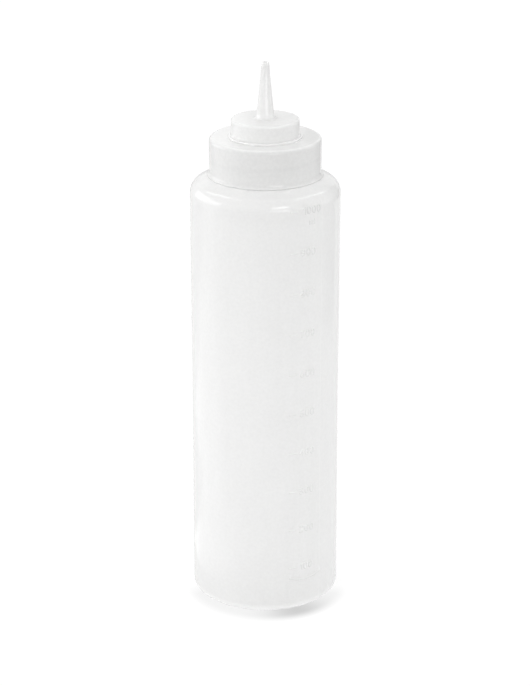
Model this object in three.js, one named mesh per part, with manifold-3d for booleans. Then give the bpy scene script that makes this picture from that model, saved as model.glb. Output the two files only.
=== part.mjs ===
// A one-litre squeeze bottle for sauce: a blow-moulded bottle, a sealing ring and a screw cap with a cone nozzle.
// Millimetres, +Z up. The origin is the centre of the foot, and -Y is the front, where the volume scale begins.

import * as THREE from 'three';
import { mergeVertices } from 'three/addons/utils/BufferGeometryUtils.js';
import Module from 'manifold-3d';

// Bottle body
const bodyDiameter = 78;
const wallHeight = 223.5;
const wallThickness = 1;
const floorThickness = 1.4;
const waistDepth = 0.2;
const heelRound = 4;
const footRingWidth = 4;
const recessDepth = 2.6;
const recessSlopeWidth = 9;
const shoulderRound = 7.5;
const shoulderSlope = THREE.MathUtils.degToRad(29.5);
const landWidth = 4.8;

// Neck and screw thread, shared by the bottle and the cap
const neckDiameter = 50.8;
const neckWall = 1.8;
const rimChamfer = 0.4;
const threadPitch = 5;
const threadTurns = 1.5;
const threadDepth = 1.5;
const threadRootWidth = 2.4;
const threadCrestWidth = 1.2;
const threadBite = 0.6;
const threadClearance = 0.5;
const flankClearance = 0.4;
const rimToThread = 2.8;
const runOutTurns = 0.12;

// Volume scale in relief on the wall
const firstMarkHeight = 25.3;
const markSpacing = 22.02;
const marksOverWall = 1;
const markLength = 4.4;
const markStroke = 0.7;
const markRelief = 0.3;
const markBite = 0.5;
const markAzimuth = THREE.MathUtils.degToRad(21.9);
const baseLineDrop = 7.05;
const baseLineLength = 19;
const baseLineAzimuth = THREE.MathUtils.degToRad(33.8);

// Sealing ring
const gasketThickness = 1.2;
const gasketOverhang = 0.8;
const seatClearance = 0.3;

// Screw cap
const skirtWall = 1.55;
const skirtUnderThread = 2.8;
const lipClearance = 0.2;
const lipFlare = 1.15;
const lipEdge = 0.6;
const flareHeight = 1.8;
const leadChamfer = 0.5;
const crownThickness = 1.8;
const crownRound = 1.8;
const bossDiameter = 35.2;
const bossHeight = 9.7;
const bossWall = 1.4;
const bossTopThickness = 1.3;
const bossRound = 1.2;
const bossDraft = 0.2;
const collarWidth = 1.3;
const collarHeight = 0.9;
const collarRound = 0.4;

// Cone nozzle
const nozzleLength = 29.2;
const nozzleFootDiameter = 9.6;
const nozzleTipDiameter = 3.9;
const nozzleBow = 0.17;
const nozzleWall = 1.25;
const nozzleFillet = 1.3;
const tipRound = 0.5;
const orificeDiameter = 2;

// Facets
const roundSegments = 48;
const wallSteps = 6;
const shoulderSteps = 6;
const filletSteps = 3;
const recessSteps = 4;
const nozzleSteps = 3;
const markSteps = 2;
const baseLineSteps = 4;

// Radii and heights that follow
const quarterTurn = Math.PI / 2;
const bodyRadius = bodyDiameter / 2;
const neckRadius = neckDiameter / 2;
const mouthRadius = neckRadius - neckWall;
const landRadius = neckRadius + landWidth;
const shoulderRoom = (bodyRadius - landRadius) / (1 - Math.sin(shoulderSlope));
const shoulderRadius = Math.min(shoulderRound, shoulderRoom);
const skirtInnerRadius = neckRadius + threadDepth + threadClearance;
const skirtRadius = skirtInnerRadius + skirtWall;
const lipRadius = skirtRadius + lipFlare;
const bossRadius = bossDiameter / 2;
const chamberRadius = bossRadius - bossWall;
const footRadius = bodyRadius - heelRound;
const footInnerRadius = footRadius - footRingWidth;
const recessRadius = footInnerRadius - recessSlopeWidth;

// Heights over the neck's rim. The flanks of both threads stay parallel, so one offset keeps them apart.
const threadLength = threadPitch * threadTurns;
const flankSlope = (threadRootWidth - threadCrestWidth) / 2 / threadDepth;
const flankOffset = threadRootWidth - flankSlope * (threadDepth + threadClearance) + flankClearance;
const neckThreadStart = -rimToThread - threadLength;
const capThreadStart = neckThreadStart - flankOffset;
const skirtBottom = capThreadStart - threadRootWidth / 2 - skirtUnderThread;
const neckLength = lipClearance - skirtBottom;
const crownUnderside = gasketThickness + 2 * seatClearance;
const crownTop = crownUnderside + crownThickness;
const collarTop = crownTop + collarHeight;
const bossTop = crownTop + bossHeight;
const chamberTop = bossTop - bossTopThickness;
const nozzleTip = bossTop + nozzleLength;

// Heights over the foot
const shoulderEndRadius = bodyRadius - shoulderRadius + shoulderRadius * Math.sin(shoulderSlope);
const shoulderEndHeight = wallHeight + shoulderRadius * Math.cos(shoulderSlope);
const landHeight = shoulderEndHeight + (shoulderEndRadius - landRadius) * Math.tan(shoulderSlope);
const rimHeight = landHeight + neckLength;
const markRoom = wallHeight + marksOverWall - firstMarkHeight;
const markCount = Math.floor(markRoom / markSpacing) + 1;

const wasm = await Module();
wasm.setup();

function point(radius, height) {
  return new THREE.Vector2(radius, height);
}

// Points on an elliptic arc in the profile plane, both ends included
function arc(centre, halfWidth, halfHeight, from, to, steps) {
  return Array.from({ length: steps + 1 }, (_, step) => {
    const angle = THREE.MathUtils.lerp(from, to, step / steps);
    return point(centre.x + halfWidth * Math.cos(angle), centre.y + halfHeight * Math.sin(angle));
  });
}

// A profile that runs anticlockwise round the material, turned about the vertical axis
function revolve(profile) {
  const geometry = new THREE.LatheGeometry(profile, roundSegments);
  geometry.rotateX(quarterTurn);
  return geometry;
}

function toSolid(geometry) {
  geometry.deleteAttribute('normal');
  geometry.deleteAttribute('uv');
  const merged = mergeVertices(geometry);
  const corners = merged.index.array;
  const triangles = [];
  for (let first = 0; first < corners.length; first += 3) {
    const [a, b, c] = corners.slice(first, first + 3);
    if (a !== b && b !== c && c !== a) {
      triangles.push(a, b, c);
    }
  }
  return new wasm.Manifold(new wasm.Mesh({
    numProp: 3,
    vertProperties: new Float32Array(merged.attributes.position.array),
    triVerts: new Uint32Array(triangles),
  }));
}

function toGeometry(solid) {
  const { vertProperties, triVerts } = solid.getMesh();
  const geometry = new THREE.BufferGeometry();
  geometry.setAttribute('position', new THREE.BufferAttribute(vertProperties, 3));
  geometry.setIndex(new THREE.BufferAttribute(triVerts, 1));
  geometry.computeVertexNormals();
  return geometry;
}

function joined(geometries) {
  const [first, ...others] = geometries.map(toSolid);
  return toGeometry(others.reduce((whole, solid) => whole.add(solid), first));
}

// The wall draws in a little at mid height, and over it the shoulder's round takes the radius in
function bodyRadiusAt(height) {
  if (height > wallHeight) {
    const rise = height - wallHeight;
    return bodyRadius - shoulderRadius + Math.sqrt(shoulderRadius ** 2 - rise ** 2);
  }
  const travel = (height - heelRound) / (wallHeight - heelRound);
  return bodyRadius - waistDepth * Math.sin(Math.PI * travel) ** 2;
}

// Heel, wall and shoulder from the foot up to the flat land round a neck of the given radius, one wall's
// depth inside the outline
function shellSide(depth, footDepth, neck) {
  const heelCentre = point(footRadius, heelRound);
  const heel = arc(heelCentre, heelRound - depth, heelRound - footDepth, -quarterTurn, 0, filletSteps);
  const wall = [];
  for (let step = 1; step < wallSteps; step += 1) {
    const height = THREE.MathUtils.lerp(heelRound, wallHeight, step / wallSteps);
    wall.push(point(bodyRadiusAt(height) - depth, height));
  }
  const shoulderCentre = point(bodyRadius - shoulderRadius, wallHeight);
  const turned = shoulderRadius - depth;
  const shoulder = arc(shoulderCentre, turned, turned, 0, quarterTurn - shoulderSlope, shoulderSteps);
  const end = shoulder[shoulderSteps];
  const land = landHeight - depth;
  const landEdge = point(end.x - (land - end.y) / Math.tan(shoulderSlope), land);
  return [...heel, ...wall, ...shoulder, landEdge, point(neck, land)];
}

// The underside rises from the foot ring to a flat recess, by half a cosine wave
function recessSide(depth) {
  const side = [point(0, recessDepth + depth)];
  for (let step = 0; step <= recessSteps; step += 1) {
    const travel = step / recessSteps;
    const radius = THREE.MathUtils.lerp(recessRadius, footInnerRadius, travel);
    side.push(point(radius, depth + recessDepth * Math.cos(quarterTurn * travel) ** 2));
  }
  return side;
}

// One thread, as a trapezoid swept along a right-hand helix from height zero. Side is 1 on the neck, whose
// thread stands outwards, and -1 in the cap, whose thread stands inwards. Both ends run out into the wall.
function thread(wallRadius, side) {
  const halfRoot = threadRootWidth / 2 + flankSlope * threadBite;
  const halfCrest = threadCrestWidth / 2;
  const section = new THREE.Shape([
    point(-halfRoot, -threadBite),
    point(halfRoot, -threadBite),
    point(halfCrest, threadDepth),
    point(-halfCrest, threadDepth),
  ]);
  const geometry = new THREE.ExtrudeGeometry(section, {
    depth: threadTurns,
    steps: Math.round(threadTurns * roundSegments),
    bevelEnabled: false,
  });
  const places = geometry.attributes.position;
  const sunk = -threadBite / 2;
  for (let index = 0; index < places.count; index += 1) {
    const turns = places.getZ(index);
    const standing = Math.min(1, turns / runOutTurns, (threadTurns - turns) / runOutTurns);
    const full = places.getY(index);
    const rise = full > 0 ? THREE.MathUtils.lerp(sunk, full, standing) : full;
    const radius = wallRadius + side * rise;
    const angle = 2 * Math.PI * turns;
    const height = side * places.getX(index) + threadPitch * turns;
    places.setXYZ(index, radius * Math.cos(angle), radius * Math.sin(angle), height);
  }
  return geometry;
}

// A short raised line on the wall, bent to the wall's radius
function wallLine(azimuth, length, height, steps) {
  const radius = bodyRadiusAt(height);
  const middle = azimuth - quarterTurn;
  const half = length / radius / 2;
  const shape = new THREE.Shape();
  shape.absarc(0, 0, radius + markRelief, middle - half, middle + half, false);
  shape.absarc(0, 0, radius - markBite, middle + half, middle - half, true);
  const geometry = new THREE.ExtrudeGeometry(shape, {
    depth: markStroke,
    bevelEnabled: false,
    curveSegments: steps,
  });
  geometry.translate(0, 0, height - markStroke / 2);
  return geometry;
}

function bottleGeometry() {
  const outside = shellSide(0, 0, neckRadius);
  const inside = shellSide(wallThickness, floorThickness, mouthRadius);
  const rim = [
    point(neckRadius, rimHeight - rimChamfer),
    point(neckRadius - rimChamfer, rimHeight),
    point(mouthRadius + rimChamfer, rimHeight),
    point(mouthRadius, rimHeight - rimChamfer),
  ];
  const shell = revolve([
    ...recessSide(0),
    ...outside,
    ...rim,
    ...inside.reverse(),
    ...recessSide(floorThickness).reverse(),
  ]);
  const neckThread = thread(neckRadius, 1);
  neckThread.translate(0, 0, rimHeight + neckThreadStart);
  const marks = Array.from({ length: markCount }, (_, index) => {
    const height = firstMarkHeight + index * markSpacing;
    return wallLine(markAzimuth, markLength, height, markSteps);
  });
  const baseLineHeight = firstMarkHeight - baseLineDrop;
  const baseLine = wallLine(baseLineAzimuth, baseLineLength, baseLineHeight, baseLineSteps);
  return joined([shell, neckThread, baseLine, ...marks]);
}

// A flat ring that lies between the neck's rim and the underside of the cap's crown
function gasketGeometry() {
  const innerRadius = mouthRadius - gasketOverhang;
  const outerRadius = skirtInnerRadius - seatClearance;
  return revolve([
    point(innerRadius, 0),
    point(outerRadius, 0),
    point(outerRadius, gasketThickness),
    point(innerRadius, gasketThickness),
    point(innerRadius, 0),
  ]);
}

// Skirt with its flared lip, crown, collar, boss and nozzle from the bottom up, then the bore back down
function capGeometry() {
  const flareTop = skirtBottom + lipEdge + flareHeight;
  const crownCentre = point(skirtRadius - crownRound, crownTop - crownRound);
  const collarRadius = bossRadius + bossDraft + collarWidth;
  const collarCentre = point(collarRadius - collarRound, collarTop - collarRound);
  const bossCentre = point(bossRadius - bossRound, bossTop - bossRound);
  const footRadiusOfNozzle = nozzleFootDiameter / 2;
  const filletCentre = point(footRadiusOfNozzle + nozzleFillet, bossTop + nozzleFillet);
  const tipRadius = nozzleTipDiameter / 2;
  const tipCentre = point(tipRadius - tipRound, nozzleTip - tipRound);
  const coneStart = nozzleFillet / nozzleLength;
  const coneEnd = 1 - tipRound / nozzleLength;
  const cone = [];
  for (let step = 0; step < nozzleSteps; step += 1) {
    const travel = THREE.MathUtils.lerp(coneStart, coneEnd, step / nozzleSteps);
    const straight = THREE.MathUtils.lerp(footRadiusOfNozzle, tipRadius, travel);
    const bow = 4 * nozzleBow * travel * (1 - travel);
    cone.push(point(straight - bow, bossTop + nozzleLength * travel));
  }
  const fillet = arc(filletCentre, nozzleFillet, nozzleFillet, -quarterTurn, -2 * quarterTurn, filletSteps);
  const start = point(skirtInnerRadius + leadChamfer, skirtBottom);
  const shell = revolve([
    start,
    point(lipRadius, skirtBottom),
    point(lipRadius, skirtBottom + lipEdge),
    point(skirtRadius, flareTop),
    ...arc(crownCentre, crownRound, crownRound, 0, quarterTurn, filletSteps),
    point(collarRadius, crownTop),
    ...arc(collarCentre, collarRound, collarRound, 0, quarterTurn, filletSteps),
    point(bossRadius + bossDraft, collarTop),
    ...arc(bossCentre, bossRound, bossRound, 0, quarterTurn, filletSteps),
    ...fillet.slice(0, filletSteps),
    ...cone,
    ...arc(tipCentre, tipRound, tipRound, 0, quarterTurn, filletSteps),
    point(orificeDiameter / 2, nozzleTip),
    point(footRadiusOfNozzle - nozzleWall, chamberTop),
    point(chamberRadius, chamberTop),
    point(chamberRadius, crownUnderside),
    point(skirtInnerRadius, crownUnderside),
    point(skirtInnerRadius, skirtBottom + leadChamfer),
    start.clone(),
  ]);
  const capThread = thread(skirtInnerRadius, -1);
  capThread.translate(0, 0, capThreadStart);
  return joined([shell, capThread]);
}

function piece(name, geometry, color, roughness) {
  const mesh = new THREE.Mesh(geometry, new THREE.MeshStandardMaterial({ color, roughness, metalness: 0 }));
  mesh.name = name;
  return mesh;
}

const bottle = piece('bottle', bottleGeometry(), 0xf0f0ef, 0.38);
const gasket = piece('gasket', gasketGeometry(), 0xdfe1e0, 0.6);
const cap = piece('cap', capGeometry(), 0xefefed, 0.34);
gasket.position.z = seatClearance;

const closure = new THREE.Group();
closure.position.z = rimHeight;
closure.add(gasket, cap);

const sauceBottle = new THREE.Group();
sauceBottle.add(bottle, closure);

export default sauceBottle;
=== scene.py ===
# %% [markdown]
# # A squeeze bottle in milky polyethylene
# The object is a one-litre bottle for sauce: a blow-moulded bottle, a sealing ring, and a moulded screw
# cap that rises in steps to a cone nozzle. Each is a surface of revolution with relief on it, so each is
# made the same way here: a profile is carried round the axis on a grid, and the relief is a height that
# moves the grid along the profile's normals. The solids of the frame give the places and the sizes.

# %% Load the frame
import bpy
import numpy as np
from mathutils import Matrix, Vector


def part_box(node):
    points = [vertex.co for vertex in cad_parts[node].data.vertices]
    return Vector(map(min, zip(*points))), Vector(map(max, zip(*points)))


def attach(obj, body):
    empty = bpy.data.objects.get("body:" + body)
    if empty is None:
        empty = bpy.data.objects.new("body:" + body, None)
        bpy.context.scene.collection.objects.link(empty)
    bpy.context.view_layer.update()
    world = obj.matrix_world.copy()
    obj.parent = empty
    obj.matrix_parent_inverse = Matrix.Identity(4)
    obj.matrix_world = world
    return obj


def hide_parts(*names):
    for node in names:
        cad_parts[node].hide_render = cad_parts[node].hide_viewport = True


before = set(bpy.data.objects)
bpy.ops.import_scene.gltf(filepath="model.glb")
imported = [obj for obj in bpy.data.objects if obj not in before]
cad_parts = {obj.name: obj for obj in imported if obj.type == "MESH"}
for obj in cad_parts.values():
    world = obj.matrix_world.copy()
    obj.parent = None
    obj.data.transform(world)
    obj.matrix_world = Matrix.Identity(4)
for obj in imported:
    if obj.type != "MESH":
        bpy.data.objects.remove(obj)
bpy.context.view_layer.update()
mm = 0.001

# %% [markdown]
# ## The camera
# A telephoto camera stands over a metre away and looks down by about twenty degrees. Its place and its lens
# were found by fitting the bottle's outline, its cap and its foot at once, so every ellipse opens as it
# should.

# %% Camera
CAMERA_DISTANCE = 1116.9 * mm
CAMERA_HEIGHT = 560.9 * mm
CAMERA_ASIDE = -0.15 * mm
CAMERA_TILT = np.radians(90 - 20.658)
CAMERA_LENS = 118.17

camera_data = bpy.data.cameras.new("camera")
camera_data.lens = CAMERA_LENS
camera = bpy.data.objects.new("camera", camera_data)
camera.location = (CAMERA_ASIDE, -CAMERA_DISTANCE, CAMERA_HEIGHT)
camera.rotation_euler = (CAMERA_TILT, 0, 0)
bpy.context.collection.objects.link(camera)
bpy.context.scene.camera = camera
print("camera at", tuple(round(c, 3) for c in camera.location))

# %% [markdown]
# ## Profiles and grids
# A profile is a list of points, each a radius and a height. Straight runs and arcs are joined into one,
# with the material always on the left, so that the finished skin faces outwards. Carrying the profile round
# the axis gives a grid of rows and columns. The columns needn't be even: they crowd together where fine
# relief needs them and stay apart elsewhere.

# %% Profile helpers
def arc(centre, radius, start, end, count=9):
    """Points on a circle: the centre plus the radius times (cosine, sine) of angles from start to end."""
    angle = np.radians(np.linspace(start, end, count))
    return np.column_stack([centre[0] + radius * np.cos(angle), centre[1] + radius * np.sin(angle)])


def run(start, end, count=2):
    """Points on a straight line: start and end mixed in equal steps."""
    return np.linspace(start, end, count)


def profile(*pieces):
    """The pieces one after another, less each point that lies on the one before it."""
    points = np.concatenate(pieces)
    step = np.linalg.norm(np.diff(points, axis=0), axis=1)
    return points[np.concatenate([[True], step > 1e-7])]


def normals_of(points, closed=False):
    """Each point's outward normal: the step from its last neighbour to its next, turned a right angle."""
    if closed:
        step = np.roll(points, -1, axis=0) - np.roll(points, 1, axis=0)
    else:
        step = np.gradient(points, axis=0)
    step = step / np.linalg.norm(step, axis=1, keepdims=True)
    return np.column_stack([step[:, 1], -step[:, 0]])


# %% Grid to mesh
def turned(points, relief, azimuth, closed=False):
    """The grid of a surface of revolution: each profile point, moved along its normal by the relief, at
    radius times (sine, minus cosine) of each azimuth, which counts from the front towards +X."""
    normal = normals_of(points, closed)
    relief = relief + np.zeros((len(points), len(azimuth)))
    radius = points[:, :1] + relief * normal[:, :1]
    height = points[:, 1:] + relief * normal[:, 1:]
    return np.stack([radius * np.sin(azimuth), -radius * np.cos(azimuth), height], axis=2)


def skin(name, grid, painted_shading=0, closed=False):
    """A mesh object of a grid that closes round the axis. An open profile starts and ends on the axis, where
    a fan of triangles meets in one point. A closed profile joins its last row to its first. The painted
    shading, a number at each place of the grid, becomes an attribute that the material reads: above zero it
    is painted shade, below zero painted light."""
    rows, columns = grid.shape[:2]
    number = np.arange(rows * columns).reshape(rows, columns)
    after = np.roll(number, -1, axis=1)
    places = grid.reshape(-1, 3)
    fans = np.empty((0, 3), int)
    if closed:
        number = np.vstack([number, number[:1]])
        after = np.vstack([after, after[:1]])
    else:
        first, last = rows * columns, rows * columns + 1
        places = np.vstack([places, grid[0].mean(axis=0), grid[-1].mean(axis=0)])
        start = np.column_stack([np.full(columns, first), after[1], number[1]])
        end = np.column_stack([np.full(columns, last), number[-2], after[-2]])
        fans = np.vstack([start, end])
        number, after = number[1:-1], after[1:-1]
    quads = np.stack([number[:-1], after[:-1], after[1:], number[1:]], axis=2).reshape(-1, 4)
    mesh = bpy.data.meshes.new(name)
    used = np.unique(np.concatenate([quads.ravel(), fans.ravel()]))
    place_of = np.zeros(len(places), int)
    place_of[used] = np.arange(len(used))
    mesh.from_pydata(places[used].tolist(), [], place_of[quads].tolist() + place_of[fans].tolist())
    mesh.shade_smooth()
    shares = np.concatenate([(np.zeros((rows, columns)) + painted_shading).ravel(), [0, 0]])
    mesh.attributes.new("painted_shading", "FLOAT", "POINT").data.foreach_set("value", shares[used])
    piece = bpy.data.objects.new(name, mesh)
    bpy.context.collection.objects.link(piece)
    return piece


def report(piece):
    """Prints the mesh's size and the volume that it encloses, from the triangles' corners: a sixth of the sum
    of their scalar triple products. A skin that faces outwards has a positive volume."""
    mesh = piece.data
    mesh.calc_loop_triangles()
    places = np.empty(len(mesh.vertices) * 3)
    corners = np.empty(len(mesh.loop_triangles) * 3, int)
    mesh.vertices.foreach_get("co", places)
    mesh.loop_triangles.foreach_get("vertices", corners)
    a, b, c = places.reshape(-1, 3)[corners.reshape(-1, 3)].transpose(1, 0, 2)
    volume = (a * np.cross(b, c)).sum() / 6
    print(piece.name, "triangles", len(a), "volume in cm3", round(volume * 1e6, 2))


# %% [markdown]
# ## The bottle's outer skin
# A blow-moulded bottle is a skin of even thickness that was blown against a mould, so its outside is the
# exact shape and its inside follows it. The outside is one formula of the distance along it: a heel that
# turns a quarter circle, a straight wall with the slightest waist, a tight shoulder round, a slope, and a
# flat land round the neck that the cap comes down on.

# %% Sizes of the bottle
BODY_RADIUS = (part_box("bottle")[1].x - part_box("bottle")[0].x) / 2
RIM_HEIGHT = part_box("bottle")[1].z
WALL_TOP = 223.5 * mm
WALL = 1 * mm
FLOOR = 1.4 * mm
WAIST = 0.2 * mm
HEEL_ROUND = 4 * mm
SHOULDER_ROUND = 7.5 * mm
SHOULDER_SLOPE = np.radians(29.5)
SHOULDER_TURN = np.pi / 2 - SHOULDER_SLOPE
FOOT_RADIUS = BODY_RADIUS - HEEL_ROUND
FOOT_INNER_RADIUS = FOOT_RADIUS - 4 * mm
RECESS_RADIUS = FOOT_INNER_RADIUS - 9 * mm
RECESS_DEPTH = 2.6 * mm
NECK_RADIUS = 25.4 * mm
NECK_WALL = 1.8 * mm
RIM_ROUND = 0.4 * mm
LAND_WIDTH = 4.8 * mm
HEEL_START = HEEL_ROUND - HEEL_ROUND * np.pi / 2
SHOULDER_END = WALL_TOP + SHOULDER_ROUND * SHOULDER_TURN
SLOPE_START_RADIUS = BODY_RADIUS - SHOULDER_ROUND * (1 - np.cos(SHOULDER_TURN))
SLOPE_LENGTH = (SLOPE_START_RADIUS - NECK_RADIUS - LAND_WIDTH) / np.cos(SHOULDER_SLOPE)
SLOPE_END = SHOULDER_END + SLOPE_LENGTH
LAND_END = SLOPE_END + LAND_WIDTH


def outer_skin(along):
    """Radius and height at a distance along the outside, which is the height on the straight wall. The heel
    takes the radius in by its round times one less the cosine of its turn, and so does the shoulder. The
    slope then takes it in and up at its own angle, and the land takes it in alone."""
    heel = np.clip((HEEL_ROUND - along) / HEEL_ROUND, 0, np.pi / 2)
    turn = np.clip((along - WALL_TOP) / SHOULDER_ROUND, 0, SHOULDER_TURN)
    slope = np.clip(along - SHOULDER_END, 0, SLOPE_LENGTH)
    land = np.maximum(along - SLOPE_END, 0)
    travel = np.clip((along - HEEL_ROUND) / (WALL_TOP - HEEL_ROUND), 0, 1)
    radius = BODY_RADIUS - WAIST * np.sin(np.pi * travel) ** 2
    radius = radius - HEEL_ROUND * (1 - np.cos(heel)) - SHOULDER_ROUND * (1 - np.cos(turn))
    radius = radius - slope * np.cos(SHOULDER_SLOPE) - land
    height = np.clip(along, HEEL_ROUND, WALL_TOP) - HEEL_ROUND * np.sin(heel)
    height = height + SHOULDER_ROUND * np.sin(turn) + slope * np.sin(SHOULDER_SLOPE)
    return np.column_stack([radius, height])


def underside(radius):
    """Height of the base at a radius: flat on the foot ring, and drawn up inside it by a cosine squared."""
    travel = np.clip((radius - RECESS_RADIUS) / (FOOT_INNER_RADIUS - RECESS_RADIUS), 0, 1)
    return np.column_stack([radius, RECESS_DEPTH * np.cos(travel * np.pi / 2) ** 2])


print("neck root at", np.round(outer_skin(np.array([LAND_END])) / mm, 2), "rim at", round(RIM_HEIGHT / mm, 2))

# %% [markdown]
# ## The volume scale
# The scale is moulded in relief: short marks, plain numbers from 100 to 1000, ml under the last one, and a
# line that sags under the first. Each character is a few strokes on a unit box. The relief's height falls
# off with the distance to the nearest stroke, which gives the soft edges that a blown skin has. Laying the
# strokes on the wall needs no bending, because the grid already has the wall's own coordinates. Each stroke
# also has a painted shade, a strength that its material reads: the wall's colour is darkened there for the
# shading of the relief and for the thicker plastic, which lets less light through.

# %% Strokes of the characters
def curve(x, y, half_width, half_height, start, end, count=13):
    """Points on an ellipse about (x, y), from one angle to another."""
    angle = np.radians(np.linspace(start, end, count))
    return np.column_stack([x + half_width * np.cos(angle), y + half_height * np.sin(angle)])


def corners(*points):
    """The corners of a stroke of straight runs."""
    return np.array(points, float)


SIX = [curve(0.5, 0.3, 0.5, 0.3, 0, 360), curve(0.9, 0.3, 0.9, 0.7, 180, 105)]
CHARACTERS = {
    "0": [curve(0.5, 0.5, 0.5, 0.5, 0, 360, 21)],
    "1": [corners((0.1, 0.76), (0.6, 1), (0.6, 0))],
    "2": [np.vstack([curve(0.5, 0.72, 0.5, 0.28, 165, -30), corners((0, 0), (1, 0))])],
    "3": [curve(0.47, 0.76, 0.44, 0.24, 150, -90), curve(0.47, 0.26, 0.53, 0.26, 90, -150)],
    "4": [corners((0.72, 0), (0.72, 1), (0, 0.28), (1, 0.28))],
    "5": [np.vstack([corners((0.9, 1), (0.16, 1), (0.08, 0.54)), curve(0.46, 0.32, 0.54, 0.32, 125, -150)])],
    "6": SIX,
    "7": [corners((0, 1), (1, 1), (0.36, 0))],
    "8": [curve(0.5, 0.76, 0.42, 0.24, 0, 360), curve(0.5, 0.26, 0.5, 0.26, 0, 360)],
    "9": [1 - stroke for stroke in SIX],
    "m": [
        corners((0, 0), (0, 1)),
        np.vstack([curve(0.3, 0.68, 0.3, 0.3, 180, 0), corners((0.6, 0))]),
        np.vstack([curve(0.9, 0.68, 0.3, 0.3, 180, 0), corners((1.2, 0))]),
    ],
    "l": [corners((0, 0), (0, 1.45))],
}
print("characters:", "".join(CHARACTERS))

# %% Lay out the scale
DIGIT_HEIGHT = 3.45 * mm
DIGIT_WIDTH = 2.05 * mm
DIGIT_PITCH = 3.2 * mm
ONE_PITCH = 2.2 * mm
STROKE = 0.56 * mm
STROKE_EDGE = 0.16 * mm
RELIEF = 0.24 * mm
FIRST_MARK = 25.3 * mm
MARK_STEP = 22.02 * mm
MARKS = 10
MARK_AZIMUTH = np.radians(21.9)
MARK_LENGTH = 4.4 * mm
NUMBER_AZIMUTH = np.radians(34.2)
TOP_NUMBER_AZIMUTH = np.radians(37.6)
UNIT_DROP = 6.7 * mm
UNIT_HEIGHT = 1.7 * mm
UNIT_WIDTH = 1.5 * (UNIT_HEIGHT * DIGIT_WIDTH / DIGIT_HEIGHT)
UNIT_PITCH = 2.9 * mm
BASE_LINE_DROP = 7.05 * mm
BASE_LINE_LENGTH = 19 * mm
BASE_LINE_AZIMUTH = np.radians(33.8)
BASE_LINE_SAG = 1.5 * mm
# Painted shade of each kind of stroke, and stronger painted shade for the two top numbers.
BASE_LINE_PAINTED_SHADE, MARK_PAINTED_SHADE, NUMBER_PAINTED_SHADE = 0.9, 0.3, 0.7
TOP_PAINTED_SHADES = {MARKS - 1: 1.0, MARKS: 1.6}


def written(text, azimuth, along, height=DIGIT_HEIGHT, width=DIGIT_WIDTH, pitch=DIGIT_PITCH):
    """The strokes of a word in the wall's coordinates: arc length from the front, and distance along."""
    strokes, pen = [], 0.0
    for letter in text:
        strokes += [s * (width, height) + (pen, 0) for s in CHARACTERS[letter]]
        pen += ONE_PITCH if letter == "1" else pitch
    span = np.ptp(np.vstack(strokes)[:, 0])
    left = np.vstack(strokes)[:, 0].min()
    corner = (BODY_RADIUS * azimuth - span / 2 - left, along - height / 2)
    return [s + corner for s in strokes]


def level(azimuth, length, along):
    """One level stroke of the scale, less the round ends that its width adds."""
    middle, half = BODY_RADIUS * azimuth, (length - STROKE) / 2
    return corners((middle - half, along), (middle + half, along))


def sagging(azimuth, length, along, sag):
    """A line that hangs between its ends: along it the height changes by the sag times the square of the way
    from its middle, less 0.45."""
    way = np.linspace(-1, 1, 13)
    return np.column_stack([BODY_RADIUS * azimuth + way * length / 2, along + sag * (way**2 - 0.45)])


heights = FIRST_MARK + MARK_STEP * np.arange(MARKS)
base_line = sagging(BASE_LINE_AZIMUTH, BASE_LINE_LENGTH, FIRST_MARK - BASE_LINE_DROP, BASE_LINE_SAG)
scale = [(base_line, BASE_LINE_PAINTED_SHADE)]
for count, along in enumerate(heights, start=1):
    azimuth = TOP_NUMBER_AZIMUTH if count == MARKS else NUMBER_AZIMUTH
    painted_shade_strength = TOP_PAINTED_SHADES.get(count, NUMBER_PAINTED_SHADE)
    scale += [(stroke, painted_shade_strength) for stroke in written(str(count * 100), azimuth, along)]
    scale.append((level(MARK_AZIMUTH, MARK_LENGTH, along), MARK_PAINTED_SHADE))
unit = written("ml", TOP_NUMBER_AZIMUTH, heights[-1] - UNIT_DROP, UNIT_HEIGHT, UNIT_WIDTH, UNIT_PITCH)
scale += [(stroke, NUMBER_PAINTED_SHADE) for stroke in unit]
print("strokes in the scale:", len(scale))

# %% [markdown]
# ## Rows, columns and relief of the bottle
# Rows crowd where characters stand and columns crowd over the scale and at the two parting lines, where the
# halves of the mould met. The rest of the wall needs few of either. Relief is worked out stroke by stroke,
# and only on the rows and columns near that stroke.

# %% Rows and columns
def merged(*parts, least=0.05 * mm):
    """All the values in order, less each that follows the last one more closely than least."""
    values = np.unique(np.concatenate(parts))
    kept = [values[0]]
    for value in values[1:]:
        if value - kept[-1] > least:
            kept.append(value)
    return np.array(kept)


PARTING_AZIMUTH = np.radians(47.4)
WITNESS_ALONG = WALL_TOP + SHOULDER_ROUND * np.radians(51)
FINE_ROW = 0.22 * mm
FINE_COLUMN = 0.2 * mm / BODY_RADIUS
LEAST_COLUMN = 0.04 * mm / BODY_RADIUS
PLAIN_STEP = 6
SCALE_COLUMNS = np.radians((18, 47.9))
UNIT_BAND = (-1.8 * mm, 2.6 * mm)
BASE_LINE_BAND = (-1.2 * mm, 1.4 * mm)
WITNESS_BAND = (-0.6 * mm, 0.6 * mm)
BEAD_BAND = (-0.6 * mm, 2.4 * mm)
half_digit = (DIGIT_HEIGHT + STROKE) / 2 + STROKE_EDGE + 2 * FINE_ROW
bands = [np.arange(z - half_digit, z + half_digit, FINE_ROW) for z in heights]
bands += [heights[-1] - UNIT_DROP + np.arange(*UNIT_BAND, FINE_ROW)]
bands += [FIRST_MARK - BASE_LINE_DROP + np.arange(*BASE_LINE_BAND, FINE_ROW)]
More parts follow.
